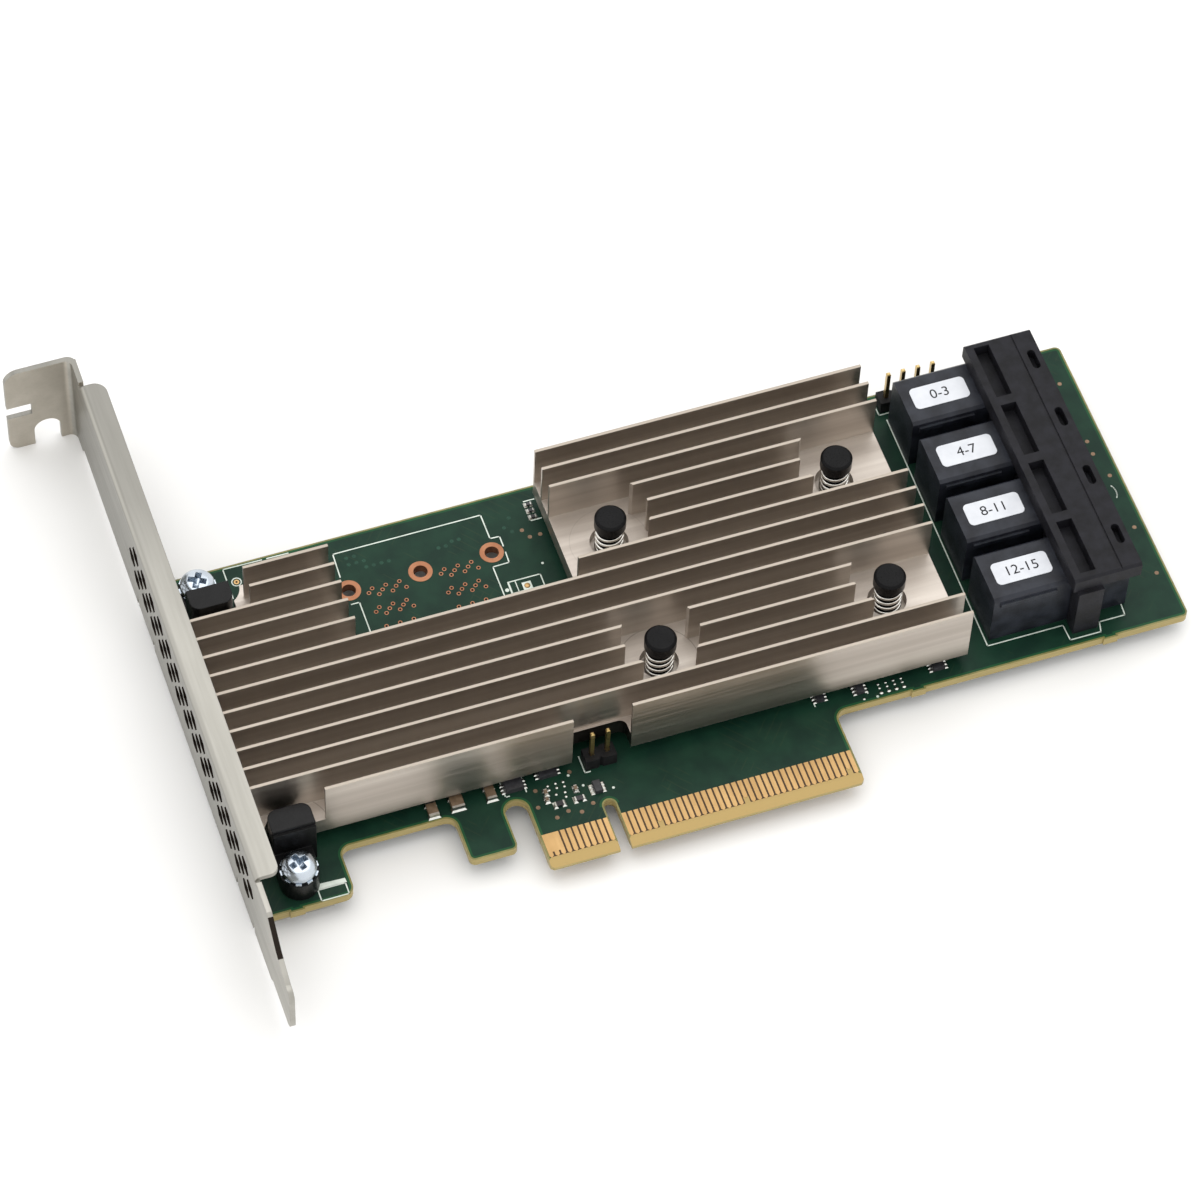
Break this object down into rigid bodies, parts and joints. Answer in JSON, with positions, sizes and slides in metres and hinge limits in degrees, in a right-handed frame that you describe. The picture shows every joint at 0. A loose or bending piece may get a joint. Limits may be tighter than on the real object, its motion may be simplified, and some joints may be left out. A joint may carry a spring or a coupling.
{
  "type": "storage controller card",
  "caption": "Server expansion card with a finned heat sink on spring-loaded pins, a vented full-height bracket, ganged cable receptacles and a gold edge connector.",
  "frame": {"origin": "centre line of the key notch, on the lower edge of the contact fingers and on the component face of the board", "axes": "+X along the card from the bracket to the receptacles, +Y from the contact fingers to the upper edge, +Z out of the component face"},
  "size_m": [0.1685, 0.1196, 0.0199],
  "materials": {
    "board_laminate": "solder-masked glass epoxy",
    "gold_plating": "hard gold plating",
    "copper_plating": "plated copper",
    "bracket_steel": "nickel-plated sheet steel",
    "screw_steel": "bright zinc plating",
    "holder_plastic": "moulded black",
    "sink_aluminium": "plated extrusion, satin",
    "pin_nylon": "moulded black",
    "spring_steel": "bright wire",
    "package_black": "moulded epoxy",
    "package_laminate": "laminate",
    "lid_metal": "nickel-plated copper",
    "gap_pad": "filled silicone",
    "receptacle_plastic": "glass-filled black",
    "frame_plastic": "glass-filled black",
    "label_paper": "white paper",
    "lead_tin": "tin plating",
    "ceramic_tan": "fired ceramic",
    "resistor_black": "glazed ceramic",
    "crystal_can": "metal lid"
  },
  "bodies": {
    "root": {"circuit_board": "board_laminate", "edge_contacts_top": "gold_plating", "edge_contacts_bottom": "gold_plating", "plated_hole_rings": "copper_plating", "full_height_bracket": "bracket_steel", "lower_bracket_holder": "holder_plastic", "upper_bracket_holder": "holder_plastic", "bracket_screws": "screw_steel", "lock_washers": "screw_steel", "heat_sink": "sink_aluminium", "push_pins": "pin_nylon", "push_pin_springs": "spring_steel", "controller_substrate": "package_laminate", "controller_lid": "lid_metal", "thermal_pad": "gap_pad", "flash_memory": "package_black", "memory_chips": "package_black", "power_stages": "package_black", "power_inductors": "package_black", "bulk_capacitors": "package_black", "clock_crystal": "crystal_can", "receptacle_housing_1": "receptacle_plastic", "receptacle_housing_2": "receptacle_plastic", "receptacle_housing_3": "receptacle_plastic", "receptacle_housing_4": "receptacle_plastic", "contact_inserts": "frame_plastic", "receptacle_contacts": "gold_plating", "receptacle_frame": "frame_plastic", "port_labels": "label_paper", "four_pin_header_body": "holder_plastic", "four_pin_header_pins": "gold_plating", "two_pin_header_body": "holder_plastic", "two_pin_header_pins": "gold_plating", "ceramic_capacitors": "ceramic_tan", "chip_resistors": "resistor_black", "chip_terminals": "lead_tin", "small_packages": "package_black", "package_leads": "lead_tin", "underside_capacitors": "ceramic_tan"}
  },
  "joints": []
}
